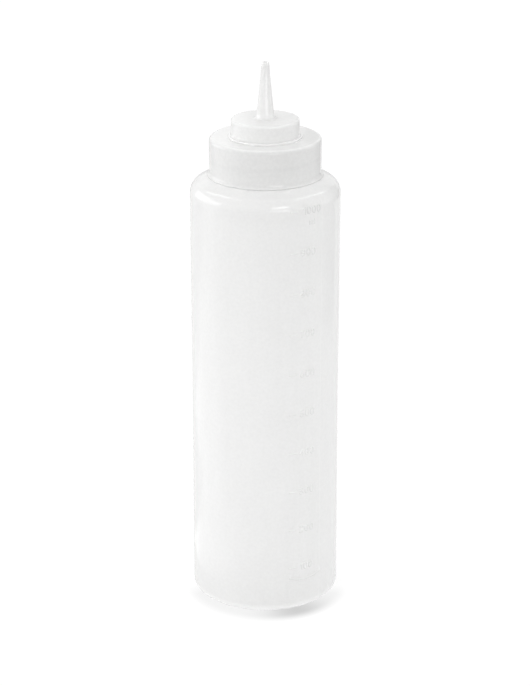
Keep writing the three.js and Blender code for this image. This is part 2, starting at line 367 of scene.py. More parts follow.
wall_rows = merged(
    np.linspace(HEEL_START, HEEL_ROUND, 9),
    np.linspace(HEEL_ROUND, WALL_TOP, 38),
    np.linspace(WALL_TOP, SHOULDER_END, 20),
    WITNESS_ALONG + np.linspace(*WITNESS_BAND, 11),
    np.linspace(SHOULDER_END, SLOPE_END, 6),
    SLOPE_END + np.linspace(*BEAD_BAND, 16),
    np.linspace(SLOPE_END, LAND_END, 3),
    *bands,
)
near_parting = np.radians(np.array([-2.4, -1.2, -0.6, -0.4, -0.2, 0, 0.2, 0.4, 0.6, 1.2, 2.4]))
columns = merged(
    np.radians(np.arange(0, 360, PLAIN_STEP)),
    np.arange(*SCALE_COLUMNS, FINE_COLUMN),
    PARTING_AZIMUTH + near_parting,
    PARTING_AZIMUTH + np.pi + near_parting,
    least=LEAST_COLUMN,
)
print("rows on the wall:", len(wall_rows), "columns:", len(columns))

# %% Relief of the wall
def eased(value):
    """Zero below 0, one above 1, and in between three times the square less twice the cube."""
    value = np.clip(value, 0, 1)
    return value * value * (3 - 2 * value)


def raised(distance, half_width, edge, height):
    """A ridge's height at a distance from its middle line."""
    return height * eased((half_width + edge / 2 - distance) / edge)


def stroke_distance(x, y, stroke):
    """Distance from each point to the nearest of the stroke's straight runs, whose nearest place is the
    point's projection on the run, held between its two ends."""
    start, step = stroke[:-1], np.diff(stroke, axis=0)
    away_x, away_y = x[..., None] - start[:, 0], y[..., None] - start[:, 1]
    share = (away_x * step[:, 0] + away_y * step[:, 1]) / (step**2).sum(axis=1)
    share = np.clip(share, 0, 1)
    return np.hypot(away_x - share * step[:, 0], away_y - share * step[:, 1]).min(axis=-1)


def scale_relief(along, azimuth):
    """Height of the moulded scale on a grid of the wall, and the painted shade there, from 0 upwards."""
    relief, painted_shading = np.zeros((2, len(along), len(azimuth)))
    reach = STROKE / 2 + STROKE_EDGE
    for stroke, painted_shade_strength in scale:
        low, high = stroke.min(axis=0) - reach, stroke.max(axis=0) + reach
        rows = np.flatnonzero((along > low[1]) & (along < high[1]))
        cols = np.flatnonzero((azimuth * BODY_RADIUS > low[0]) & (azimuth * BODY_RADIUS < high[0]))
        x, y = np.meshgrid(azimuth[cols] * BODY_RADIUS, along[rows])
        height = raised(stroke_distance(x, y, stroke), STROKE / 2, STROKE_EDGE, RELIEF)
        patch = np.ix_(rows, cols)
        relief[patch] = np.maximum(relief[patch], height)
        painted_shading[patch] = np.maximum(painted_shading[patch], height / RELIEF * painted_shade_strength)
    return relief, painted_shading


def from_parting(azimuth):
    """The angle from the nearer of the two parting lines, which are half a turn apart."""
    return np.abs((azimuth - PARTING_AZIMUTH + np.pi / 2) % np.pi - np.pi / 2)


# %% [markdown]
# ## The lines that the mould leaves
# Where the halves of the mould met, a low ridge runs up the wall, and a painted highlight makes it a little
# lighter than the wall beside it. Where the shoulder's part of the mould met the wall's, a fainter line goes
# round, the witness line. Under the cap's lip the land swells to a low bead.

# %% Mould lines
PARTING_HALF = 0.12 * mm
PARTING_EDGE = 0.2 * mm
PARTING_RELIEF = 0.06 * mm
# Strength, half width and edge of the painted highlight along the parting lines.
PARTING_PAINTED_HIGHLIGHT = 0.5
PARTING_HIGHLIGHT_HALF = 0.3 * mm
PARTING_HIGHLIGHT_EDGE = 0.4 * mm
WITNESS_HALF = 0.2 * mm
WITNESS_EDGE = 0.5 * mm
WITNESS_RELIEF = 0.03 * mm
BEAD_ALONG = SLOPE_END + 0.8 * mm
BEAD_HALF = 0.8 * mm
BEAD_EDGE = 0.5 * mm
BEAD_RELIEF = 0.17 * mm
wall_relief, wall_painted_shading = scale_relief(wall_rows, columns)
beside = from_parting(columns) * BODY_RADIUS
# Painted highlight along the parting lines: painted shading below zero lightens the wall's colour.
wall_painted_shading = wall_painted_shading - PARTING_PAINTED_HIGHLIGHT * raised(beside, PARTING_HIGHLIGHT_HALF, PARTING_HIGHLIGHT_EDGE, 1)
parting = raised(beside, PARTING_HALF, PARTING_EDGE, PARTING_RELIEF)
witness = raised(np.abs(wall_rows - WITNESS_ALONG), WITNESS_HALF, WITNESS_EDGE, WITNESS_RELIEF)
bead = raised(np.abs(wall_rows - BEAD_ALONG), BEAD_HALF, BEAD_EDGE, BEAD_RELIEF)
risen = eased((wall_rows - HEEL_START) / (HEEL_ROUND - HEEL_START))
for line in (risen[:, None] * parting[None, :], witness[:, None], bead[:, None]):
    wall_relief = np.maximum(wall_relief, line)
print("highest relief in mm:", round(wall_relief.max() / mm, 2))

# %% [markdown]
# ## The screw thread
# A thread's ridge follows a right-hand helix: its middle climbs one pitch a turn. At each place on the neck
# the ridge's height is that of the nearer of the turns that pass there, and it fades out at both ends. The
# cap's ridge is the same, a little lower, and stands inwards.

# %% Helix
PITCH = 5 * mm
TURNS = 1.5
THREAD_DEPTH = 1.5 * mm
THREAD_ROOT = 2.4 * mm
THREAD_CREST = 1.2 * mm
RUN_OUT_TURNS = 0.12
THREAD_CLEARANCE = 0.5 * mm
THREAD_UNDER_RIM = 2.8 * mm
FLANK_OFFSET = 2 * mm
NECK_THREAD_START = RIM_HEIGHT - THREAD_UNDER_RIM - PITCH * TURNS
CAP_THREAD_START = NECK_THREAD_START - FLANK_OFFSET


def helix_relief(height, azimuth, start):
    """Height of a thread's ridge: eased from its root to its crest by the distance along the axis from the
    middle of the ridge, and faded over its first and last tenth of a turn. Turns count from +X."""
    relief = np.zeros((len(height), len(azimuth)))
    share = ((azimuth - np.pi / 2) / (2 * np.pi)) % 1
    for whole in range(int(np.ceil(TURNS))):
        turns = share + whole
        away = np.abs(height[:, None] - start - PITCH * turns[None, :])
        ridge = eased((THREAD_ROOT / 2 - away) / (THREAD_ROOT / 2 - THREAD_CREST / 2))
        fade = np.minimum(turns, TURNS - turns) / RUN_OUT_TURNS
        relief = np.maximum(relief, THREAD_DEPTH * ridge * eased(fade)[None, :])
    return relief


print("threads start in mm:", round(NECK_THREAD_START / mm, 2), round(CAP_THREAD_START / mm, 2))

# %% [markdown]
# ## The bottle
# The outside runs from the middle of the base over the foot ring, up the wall and over the shoulder to the
# rim. The pinch-off scar crosses the base along the parting line: there the mould closed the tube of soft
# plastic. The inside is the outside moved in by the wall's thickness, with no relief.

# %% Build the bottle
SCAR_HALF_LENGTH = 18 * mm
SCAR_HALF = 0.35 * mm
SCAR_EDGE = 0.5 * mm
SCAR_FADE = 2 * mm
SCAR_RELIEF = 0.55 * mm
base_rows = merged(
    np.linspace(0, RECESS_RADIUS, 14),
    np.linspace(RECESS_RADIUS, FOOT_INNER_RADIUS, 11),
    np.linspace(FOOT_INNER_RADIUS, FOOT_RADIUS - 0.3 * mm, 4),
)
across = base_rows[:, None] * np.sin(from_parting(columns))[None, :]
lengthwise = base_rows[:, None] * np.cos(from_parting(columns))[None, :]
scar_end = eased((SCAR_HALF_LENGTH - lengthwise) / SCAR_FADE)
base_relief = raised(across, SCAR_HALF, SCAR_EDGE, SCAR_RELIEF) * scar_end
neck_rows = np.linspace(outer_skin(np.array([LAND_END]))[0, 1], RIM_HEIGHT - RIM_ROUND, 54)[1:]
neck_relief = helix_relief(neck_rows, columns, NECK_THREAD_START)

outside = np.vstack([
    underside(base_rows),
    outer_skin(wall_rows),
    np.column_stack([np.full(len(neck_rows), NECK_RADIUS), neck_rows]),
])
outside_relief = np.vstack([base_relief, wall_relief, np.maximum(neck_relief, parting[None, :])])

inner_along = merged(
    np.linspace(HEEL_START, HEEL_ROUND, 7),
    np.linspace(HEEL_ROUND, WALL_TOP, 16),
    np.linspace(WALL_TOP, SHOULDER_END, 12),
    np.linspace(SHOULDER_END, SLOPE_END, 4),
    np.linspace(SLOPE_END, LAND_END, 4),
)
bare = np.vstack([underside(merged(base_rows, least=2 * mm)), outer_skin(inner_along)])
base_count = len(bare) - len(inner_along)
thickness = np.concatenate([
    np.full(base_count, FLOOR),
    np.interp(inner_along, [HEEL_START, HEEL_ROUND], [FLOOR, WALL]),
])
inside = bare - normals_of(bare) * thickness[:, None]
inside[0, 0] = 0
MOUTH_RADIUS = NECK_RADIUS - NECK_WALL
LAND_UNDER = inside[-1, 1]
THROAT_ROUND = 0.4 * mm
throat = profile(
    arc((MOUTH_RADIUS + THROAT_ROUND, LAND_UNDER + THROAT_ROUND), THROAT_ROUND, 270, 180, 5),
    run((MOUTH_RADIUS, LAND_UNDER + 0.8 * mm), (MOUTH_RADIUS, RIM_HEIGHT - RIM_ROUND - 0.3 * mm), 10),
)
rim = profile(
    arc((NECK_RADIUS - RIM_ROUND, RIM_HEIGHT - RIM_ROUND), RIM_ROUND, 0, 90, 5)[1:],
    arc((MOUTH_RADIUS + RIM_ROUND, RIM_HEIGHT - RIM_ROUND), RIM_ROUND, 90, 180, 5)[:-1],
)
whole = np.vstack([outside, rim, throat[::-1], inside[::-1]])
relief = np.zeros((len(whole), len(columns)))
relief[: len(outside)] = outside_relief
relief[0] = SCAR_RELIEF
painted_shading = np.zeros(relief.shape)
painted_shading[len(base_rows) : len(base_rows) + len(wall_rows)] = wall_painted_shading
bottle = skin("bottle_shell", turned(whole, relief, columns), painted_shading)
report(bottle)

# %% [markdown]
# ## The screw cap
# The cap is one injection moulding of even thickness: a smooth skirt that flares to a lip, a flat crown, a
# raised boss on a low collar, and the cone nozzle, whose sides draw in a little at mid length. Its profile is
# a closed loop, since the bore of the nozzle goes right through.

# %% Sizes and profile of the cap
CAP_LOW, CAP_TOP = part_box("cap")[0].z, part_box("cap")[1].z
LIP_RADIUS = (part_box("cap")[1].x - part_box("cap")[0].x) / 2
SKIRT_INNER = NECK_RADIUS + THREAD_DEPTH + THREAD_CLEARANCE
SKIRT_WALL = 1.55 * mm
SKIRT_RADIUS = SKIRT_INNER + SKIRT_WALL
SKIRT_FOOT = np.array([SKIRT_RADIUS, CAP_LOW])
LIP_EDGE = 0.6 * mm
LIP_ROUND = 0.35 * mm
LIP_CORNER = 0.12 * mm
FLARE = 1.8 * mm
HOLLOW_INSET = 0.3 * mm
HOLLOW_START = 0.75 * mm
LEAD = 0.5 * mm
SEAT = 0.3 * mm
RING_THICKNESS = 1.2 * mm
CROWN_UNDER = RIM_HEIGHT + RING_THICKNESS + 2 * SEAT
CROWN_WALL = 1.8 * mm
CROWN_TOP = CROWN_UNDER + CROWN_WALL
CROWN_ROUND = 1.8 * mm
BOSS_RADIUS = 17.6 * mm
BOSS_DRAFT = 0.2 * mm
BOSS_FOOT_RADIUS = BOSS_RADIUS + BOSS_DRAFT
BOSS_HEIGHT = 9.7 * mm
BOSS_TOP = CROWN_TOP + BOSS_HEIGHT
BOSS_ROUND = 1.2 * mm
BOSS_WALL, BOSS_ROOF = 1.4 * mm, 1.3 * mm
CHAMBER_RADIUS = BOSS_RADIUS - BOSS_WALL
CHAMBER_TOP = BOSS_TOP - BOSS_ROOF
COLLAR_WIDTH, COLLAR_HEIGHT = 1.3 * mm, 0.9 * mm
COLLAR_RADIUS = BOSS_FOOT_RADIUS + COLLAR_WIDTH
COLLAR_TOP = CROWN_TOP + COLLAR_HEIGHT
COLLAR_ROUND = 0.4 * mm
COLLAR_FILLET = 0.3 * mm
BOSS_FILLET = 0.5 * mm
NOZZLE_FOOT = 4.8 * mm
NOZZLE_TIP = 1.95 * mm
NOZZLE_BOW = 0.17 * mm
NOZZLE_FILLET = 1.8 * mm
TIP_ROUND = 0.35 * mm
ORIFICE = 1 * mm
ORIFICE_ROUND = 0.25 * mm
NOZZLE_WALL = 1.25 * mm
BORE_FOOT = NOZZLE_FOOT - NOZZLE_WALL
NOZZLE_LENGTH = CAP_TOP - BOSS_TOP


def lip_hollow(travel):
    """From the lip up to the skirt, past the skirt's foot: the radius falls by a square and the height rises
    evenly, so the flare is hollow and meets the skirt smoothly."""
    reach, rise = LIP_RADIUS - HOLLOW_INSET - SKIRT_RADIUS, LIP_EDGE + FLARE - HOLLOW_START
    return np.column_stack([reach * (1 - travel) ** 2, HOLLOW_START + rise * travel])


def nozzle_side(travel):
    """Radius and height of the cone: foot to tip in a straight mix, less a bow of 4 t (1 - t)."""
    radius = NOZZLE_FOOT + (NOZZLE_TIP - NOZZLE_FOOT) * travel - 4 * NOZZLE_BOW * travel * (1 - travel)
    return np.column_stack([radius, BOSS_TOP + NOZZLE_LENGTH * travel])


cap_outside = profile(
    run((SKIRT_INNER + LEAD, CAP_LOW), (LIP_RADIUS - LIP_CORNER - 0.1 * mm, CAP_LOW), 4),
    arc((LIP_RADIUS - LIP_CORNER, CAP_LOW + LIP_CORNER), LIP_CORNER, -90, 0, 6),
    arc((LIP_RADIUS - LIP_ROUND, CAP_LOW + LIP_ROUND), LIP_ROUND, 5, 60, 7),
    SKIRT_FOOT + lip_hollow(np.linspace(0.08, 1, 12)),
    run((SKIRT_RADIUS, CAP_LOW + 3 * mm), (SKIRT_RADIUS, CROWN_TOP - CROWN_ROUND - 0.3 * mm), 40),
    arc((SKIRT_RADIUS - CROWN_ROUND, CROWN_TOP - CROWN_ROUND), CROWN_ROUND, 0, 90, 14),
    run((SKIRT_RADIUS - CROWN_ROUND - 0.3 * mm, CROWN_TOP), (COLLAR_RADIUS + 0.6 * mm, CROWN_TOP), 8),
    arc((COLLAR_RADIUS + COLLAR_FILLET, CROWN_TOP + COLLAR_FILLET), COLLAR_FILLET, 270, 180, 5),
    arc((COLLAR_RADIUS - COLLAR_ROUND, COLLAR_TOP - COLLAR_ROUND), COLLAR_ROUND, 0, 90, 7),
    arc((BOSS_FOOT_RADIUS + BOSS_FILLET, COLLAR_TOP + BOSS_FILLET), BOSS_FILLET, 270, 180, 7),
    run(
        (BOSS_FOOT_RADIUS - 0.02 * mm, COLLAR_TOP + 0.9 * mm),
        (BOSS_RADIUS, BOSS_TOP - BOSS_ROUND - 0.2 * mm),
        7,
    ),
    arc((BOSS_RADIUS - BOSS_ROUND, BOSS_TOP - BOSS_ROUND), BOSS_ROUND, 0, 90, 12),
    run(
        (BOSS_RADIUS - BOSS_ROUND - 0.3 * mm, BOSS_TOP),
        (NOZZLE_FOOT + NOZZLE_FILLET + 0.4 * mm, BOSS_TOP),
        8,
    ),
    arc((NOZZLE_FOOT + NOZZLE_FILLET - 0.1 * mm, BOSS_TOP + NOZZLE_FILLET), NOZZLE_FILLET, 270, 182, 12),
    nozzle_side(np.linspace(0.075, 1 - TIP_ROUND / NOZZLE_LENGTH, 30)),
    arc((NOZZLE_TIP - TIP_ROUND, CAP_TOP - TIP_ROUND), TIP_ROUND, 10, 90, 7),
    arc((ORIFICE + ORIFICE_ROUND, CAP_TOP - ORIFICE_ROUND), ORIFICE_ROUND, 90, 180, 5),
)
print("outer rows of the cap:", len(cap_outside))

# %% [markdown]
# ## The inside of the cap
# The bore widens down to the chamber in the boss, which opens into the skirt with its thread. The milky skirt
# looks a shade darker along the neck's thread behind it, so that thread's height becomes painted shade on the
# skirt.

# %% Build the cap
CHAMBER_ROUND = 0.5 * mm
BORE_ROUND = 0.4 * mm
CAP_STEP = 2.5
bore = run((ORIFICE + 0.02 * mm, CAP_TOP - 0.6 * mm), (BORE_FOOT, CHAMBER_TOP + 0.4 * mm), 16)
skirt_rows = np.linspace(CROWN_UNDER - 0.3 * mm, CAP_LOW + LEAD + 0.1 * mm, 60)
cap_inside = profile(
    bore,
    arc((BORE_FOOT + BORE_ROUND, CHAMBER_TOP + BORE_ROUND), BORE_ROUND, 180, 270, 5),
    run((BORE_FOOT + 0.8 * mm, CHAMBER_TOP), (CHAMBER_RADIUS - 0.8 * mm, CHAMBER_TOP), 6),
    arc((CHAMBER_RADIUS - CHAMBER_ROUND, CHAMBER_TOP - CHAMBER_ROUND), CHAMBER_ROUND, 90, 0, 5),
    run((CHAMBER_RADIUS, CHAMBER_TOP - 0.8 * mm), (CHAMBER_RADIUS, CROWN_UNDER + 0.7 * mm), 6),
    arc((CHAMBER_RADIUS + BORE_ROUND, CROWN_UNDER + BORE_ROUND), BORE_ROUND, 180, 270, 5),
    run((CHAMBER_RADIUS + 0.8 * mm, CROWN_UNDER), (SKIRT_INNER - 0.4 * mm, CROWN_UNDER), 8),
)
skirt_inside = np.column_stack([np.full(len(skirt_rows), SKIRT_INNER), skirt_rows])
loop = np.vstack([cap_outside, cap_inside, skirt_inside])
cap_columns = np.radians(np.arange(0, 360, CAP_STEP))
cap_relief = np.zeros((len(loop), len(cap_columns)))
cap_relief[-len(skirt_rows):] = helix_relief(skirt_rows, cap_columns, CAP_THREAD_START)
# Painted shade on the outside of the skirt, where the neck's thread stands behind it.
on_skirt = (loop[:, 0] > SKIRT_RADIUS - 0.01 * mm) & (loop[:, 1] < CROWN_TOP - CROWN_ROUND)
cap_painted_shade = helix_relief(loop[:, 1], cap_columns, NECK_THREAD_START) / THREAD_DEPTH * on_skirt[:, None]
cap = skin("screw_cap", turned(loop, cap_relief, cap_columns, closed=True), cap_painted_shade, closed=True)
report(cap)

# %% [markdown]
# ## The sealing ring
# A soft ring lies on the neck's rim, inside the cap. It can be seen only when the cap is off. It is a flat
# ring with rounded edges.

# %% Build the ring
ring_low, ring_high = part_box("gasket")
RING_OUTER = (ring_high.x - ring_low.x) / 2
RING_INNER = MOUTH_RADIUS - 0.8 * mm
RING_ROUND = 0.3 * mm
ring_profile = profile(
    arc((RING_OUTER - RING_ROUND, ring_low.z + RING_ROUND), RING_ROUND, -90, 0, 5),
    arc((RING_OUTER - RING_ROUND, ring_high.z - RING_ROUND), RING_ROUND, 0, 90, 5),
    run((RING_OUTER - 0.6 * mm, ring_high.z), (RING_INNER + 0.6 * mm, ring_high.z), 3),
    arc((RING_INNER + RING_ROUND, ring_high.z - RING_ROUND), RING_ROUND, 90, 180, 5),
    arc((RING_INNER + RING_ROUND, ring_low.z + RING_ROUND), RING_ROUND, 180, 270, 5),
    run((RING_INNER + 0.6 * mm, ring_low.z), (RING_OUTER - 0.6 * mm, ring_low.z), 3),
)
ring = skin("seal_ring", turned(ring_profile, 0, cap_columns, closed=True), 0, closed=True)
report(ring)

# %% [markdown]
# ## Polyethylene
# The plastic is milky: light goes in, scatters and comes out a few millimetres away, which is what subsurface
# scattering does. It is also not quite even. Blowing leaves faint streaks down the wall and slow waves in it.
# One node group makes these as a tone, a roughness and a height, and all three plastics use it with their own
# amounts. Each plastic also has painted light and shade that changes with the height above the floor. It
# darkens the colour where the plastic is doubled, over the neck or over the base, where less light comes
# through, and lightens it at edges and fillets, where more does. It also stands in for the set's light and
# shade: lighter at the heel, under the cap's lip and at the nozzle's foot, darker over the shoulder and on
# the rounds of the crown and the boss.

# %% Node helpers
def feed(tree, socket, value):
    """Links a socket to another one, or sets it to a plain value."""
    if isinstance(value, bpy.types.NodeSocket):
        tree.links.new(value, socket)
    else:
        socket.default_value = value


def wire(tree, node, **inputs):
    """Feeds a node's inputs by name, and gives the node back."""
    for name, value in inputs.items():
        feed(tree, node.inputs[name.replace("_", " ")], value)
    return node


def sums(tree, operation, first, second):
    """A Math node's result."""
    node = tree.nodes.new("ShaderNodeMath")
    node.operation = operation
    feed(tree, node.inputs[0], first)
    feed(tree, node.inputs[1], second)
    return node.outputs[0]


def mixed(tree, blend, share, first, second):
    """Two colours mixed or multiplied, by a share from 0 to 1."""
    node = tree.nodes.new("ShaderNodeMix")
    node.data_type, node.blend_type = "RGBA", blend
    for number, value in ((0, share), (6, first), (7, second)):
        feed(tree, node.inputs[number], value)
    return node.outputs[2]


def noise(tree, vector, stretch, scale, detail):
    """Noise on Object coordinates, stretched along each axis by its own factor, less its middle value."""
    mapping = wire(tree, tree.nodes.new("ShaderNodeMapping"), Vector=vector, Scale=stretch)
    node = tree.nodes.new("ShaderNodeTexNoise")
    wire(tree, node, Vector=mapping.outputs[0], Scale=scale, Detail=detail)
    return sums(tree, "SUBTRACT", node.outputs["Fac"], 0.5)


# %% Moulded plastic group
IN_ROUGHNESS = 0.12
GRAIN_IN_HEIGHT = 0.06


def moulded_group():
    """Tone, roughness and height that change over a moulded surface. Streaks are noise stretched along the
    axis, waves are slow noise, and the grain is finer noise, which shows in the tone more than in the height.
    All three lie about 0, and the tone is their sum plus a half."""
    group = bpy.data.node_groups.new("moulded_plastic", "ShaderNodeTree")
    for name, value in {"Streaks": 0.5, "Waves": 0.5, "Grain": 0.1, "Gloss": 0.2}.items():
        socket = group.interface.new_socket(name, in_out="INPUT", socket_type="NodeSocketFloat")
        socket.default_value = value
    for name in ("Tone", "Roughness", "Height"):
        group.interface.new_socket(name, in_out="OUTPUT", socket_type="NodeSocketFloat")
    given = group.nodes.new("NodeGroupInput").outputs
    taken = group.nodes.new("NodeGroupOutput").inputs
    place = group.nodes.new("ShaderNodeTexCoord").outputs["Object"]
    streak = noise(group, place, stretch=(1, 1, 0.04), scale=260, detail=4)
    wave = noise(group, place, stretch=(1, 1, 0.6), scale=40, detail=3)
    grain = noise(group, place, stretch=(1, 1, 1), scale=650, detail=3)
    streaks = sums(group, "MULTIPLY", streak, given["Streaks"])
    waves = sums(group, "MULTIPLY", wave, given["Waves"])
    both = sums(group, "ADD", streaks, waves)
    fine = sums(group, "MULTIPLY", grain, given["Grain"])
    feed(group, taken["Tone"], sums(group, "ADD", sums(group, "ADD", both, fine), 0.5))
    rougher = sums(group, "MULTIPLY", both, IN_ROUGHNESS)
    feed(group, taken["Roughness"], sums(group, "ADD", given["Gloss"], rougher))
    feed(group, taken["Height"], sums(group, "ADD", both, sums(group, "MULTIPLY", fine, GRAIN_IN_HEIGHT)))
    return group


moulded = moulded_group()
print("group inputs:", [i.name for i in moulded.interface.items_tree if i.in_out == "INPUT"])

# %% Make a plastic
RAMP_HEIGHT = 300
BUMP_DISTANCE = 0.1 * mm


def by_height(tree, stops):
    """A grey that changes with height above the floor, through pairs of a height in mm and a tone."""
    place = tree.nodes.new("ShaderNodeSeparateXYZ")
    tree.links.new(tree.nodes.new("ShaderNodeTexCoord").outputs["Object"], place.inputs[0])
    ramp = tree.nodes.new("ShaderNodeValToRGB")
    tree.links.new(sums(tree, "DIVIDE", place.outputs[2], RAMP_HEIGHT * mm), ramp.inputs[0])
    points = ramp.color_ramp.elements
    points.remove(points[0])
    points[0].position = stops[0][0] / RAMP_HEIGHT
    for height, _ in stops[1:]:
        points.new(height / RAMP_HEIGHT)
    for point, (_, tone) in zip(points, stops):
        point.color = (tone, tone, tone, 1)
    return ramp.outputs[0]


def polyethylene(name, light, dark, painted_light_and_shade, gloss, painted_shade_strength, depth, bump, **amounts):
    """A milky plastic. Light and dark are the ends of its tone, which is multiplied by the painted light and
    shade of the height and by one less the painted shading times its strength. Its gloss changes with height
    too.
    Depth is how far light wanders in it."""
    material = bpy.data.materials.new(name)
    material.use_nodes = True
    tree = material.node_tree
    surface = tree.nodes["Principled BSDF"]
    group = tree.nodes.new("ShaderNodeGroup")
    group.node_tree = moulded
    wire(tree, group, Gloss=by_height(tree, gloss), **amounts)
    tone = mixed(tree, "MIX", group.outputs["Tone"], (*dark, 1), (*light, 1))
    # Painted shading from the mesh's attribute darkens the colour, or lightens it where it is below zero.
    painted_shading = tree.nodes.new("ShaderNodeAttribute")
    painted_shading.attribute_name = "painted_shading"
    painted_shading_factor = sums(tree, "SUBTRACT", 1.0, sums(tree, "MULTIPLY", painted_shading.outputs["Fac"], painted_shade_strength))
    for factor in (by_height(tree, painted_light_and_shade), painted_shading_factor):
        tone = mixed(tree, "MULTIPLY", 1.0, tone, factor)
    relief = tree.nodes.new("ShaderNodeBump")
    wire(tree, relief, Height=group.outputs["Height"], Strength=bump, Distance=BUMP_DISTANCE)
    wire(tree, surface, Base_Color=tone, Roughness=group.outputs["Roughness"], Normal=relief.outputs[0])
    wire(tree, surface, IOR=1.5, Subsurface_Weight=1.0, Subsurface_Radius=(1, 1, 1), Subsurface_Scale=depth)
    return material


# %% Plastics
# Painted light and shade by height: pairs of a height in mm and a factor on the colour.
BOTTLE_PAINTED_LIGHT_AND_SHADE = (
    (0, 1.06), (2.6, 1.05), (4.4, 0.958), (10, 0.958), (34, 1.0), (80, 1.012), (134, 1.008),
    (190, 0.977), (215, 0.965), (224, 0.945), (230, 0.945), (232.6, 0.985),
)
# The cap's painted light and shade by height, darkest on the skirt over the neck.
CAP_PAINTED_LIGHT_AND_SHADE = (
    (233, 0.95), (235, 0.91), (240, 0.88), (251.2, 0.88), (251.8, 0.845), (252.7, 0.845),
    (252.93, 0.99), (253.5, 0.97), (253.84, 0.945), (254.1, 1.01), (254.6, 1.0), (255.4, 0.985),
    (258, 0.95), (261.4, 0.94), (261.8, 0.895), (262.4, 0.895), (262.62, 0.975), (262.8, 1.06),
    (264.6, 1.05), (266.5, 0.985), (280, 0.97), (288, 0.93), (291, 0.90),
)
bottle_plastic = polyethylene(
    "bottle_plastic", light=(0.895, 0.895, 0.89), dark=(0.85, 0.85, 0.845), painted_light_and_shade=BOTTLE_PAINTED_LIGHT_AND_SHADE,
    gloss=((0, 0.08), (240, 0.08)), painted_shade_strength=0.08, depth=1.4 * mm, bump=0.1,
    Streaks=0.5, Waves=0.8, Grain=1.7,
)
cap_plastic = polyethylene(
    "cap_plastic", light=(0.87, 0.87, 0.865), dark=(0.82, 0.82, 0.815), painted_light_and_shade=CAP_PAINTED_LIGHT_AND_SHADE,
    gloss=((286, 0.08), (290.5, 0.3)), painted_shade_strength=0.02, depth=1.4 * mm, bump=0.1,
    Streaks=0.1, Waves=1.0, Grain=2.0,
)
seal_rubber = polyethylene(
    "seal_rubber", light=(0.80, 0.81, 0.805), dark=(0.74, 0.75, 0.745), painted_light_and_shade=((249, 1.0), (252, 1.0)),
    gloss=((249, 0.5), (252, 0.5)), painted_shade_strength=0.0, depth=1.0 * mm, bump=0.2,
    Streaks=0.1, Waves=0.4, Grain=0.5,
)
print("plastics:", [m.name for m in (bottle_plastic, cap_plastic, seal_rubber)])

# %% Dress the pieces
for piece, node, body, slot, material in (
    (bottle, "bottle", "bottle", "bottle_plastic", bottle_plastic),
    (cap, "cap", "cap", "cap_plastic", cap_plastic),
    (ring, "gasket", "seal", "seal_ring", seal_rubber),
):
    piece.data.materials.append(material)
    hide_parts(node)
    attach(piece, body)
    print(piece.name, "stands for", node, "and rides on", body)

# %% [markdown]
# ## A white studio
# The picture is white on white. The floor and the world show white to the camera and in reflections, while
# their light on the bottle stays at a plain level. One Light Path node in each chooses what a ray meets.

# %% Light path helper
def white_where_seen(tree, plain, seen, shown):
    """Chooses a shader by the kind of ray: plain for light that falls on things, seen for the camera, and
    shown for a reflection or a clear thing."""
    path = tree.nodes.new("ShaderNodeLightPath")
    gloss = sums(tree, "MAXIMUM", path.outputs["Is Glossy Ray"], path.outputs["Is Transmission Ray"])
    result = plain
    for share, shader in ((path.outputs["Is Camera Ray"], seen), (gloss, shown)):
        mix = tree.nodes.new("ShaderNodeMixShader")
        tree.links.new(share, mix.inputs[0])
        tree.links.new(result, mix.inputs[1])
        tree.links.new(shader, mix.inputs[2])
        result = mix.outputs[0]
    return result


# %% World
WORLD_LEVEL = 1.0
world = bpy.data.worlds.new("studio")
bpy.context.scene.world = world
world.use_nodes = True
tree = world.node_tree
plain_sky = wire(tree, tree.nodes["Background"], Color=(1, 1, 1, 1), Strength=WORLD_LEVEL)
white_sky = wire(tree, tree.nodes.new("ShaderNodeBackground"), Color=(1, 1, 1, 1), Strength=1.0)
sky = white_where_seen(tree, plain_sky.outputs[0], white_sky.outputs[0], white_sky.outputs[0])
tree.links.new(sky, tree.nodes["World Output"].inputs["Surface"])
print("world level:", WORLD_LEVEL)

# %% [markdown]
# ## The shade round the foot
# On a white floor under light from every side, a milky bottle leaves only a narrow ring of shade, deepest at
# its front right. A shadow that narrow can't be had from soft lamps, so the shade is a formula of the place
# on the floor. A little of the floor is a real diffuse surface, which takes the soft part of the shadow.

# %% Foot shade
SHADE_CENTRE = (1 * mm, -3 * mm, 0)
SHADE_FROM, SHADE_TO = 38 * mm, 48 * mm
SHADE_RING = 0.12
SHADE_SIDE = 0.27
SHADE_AZIMUTH = np.radians(26)
SHADE_POWER = 10.0
SHADE_BACK = 0.03
RING_FADE = 3.0


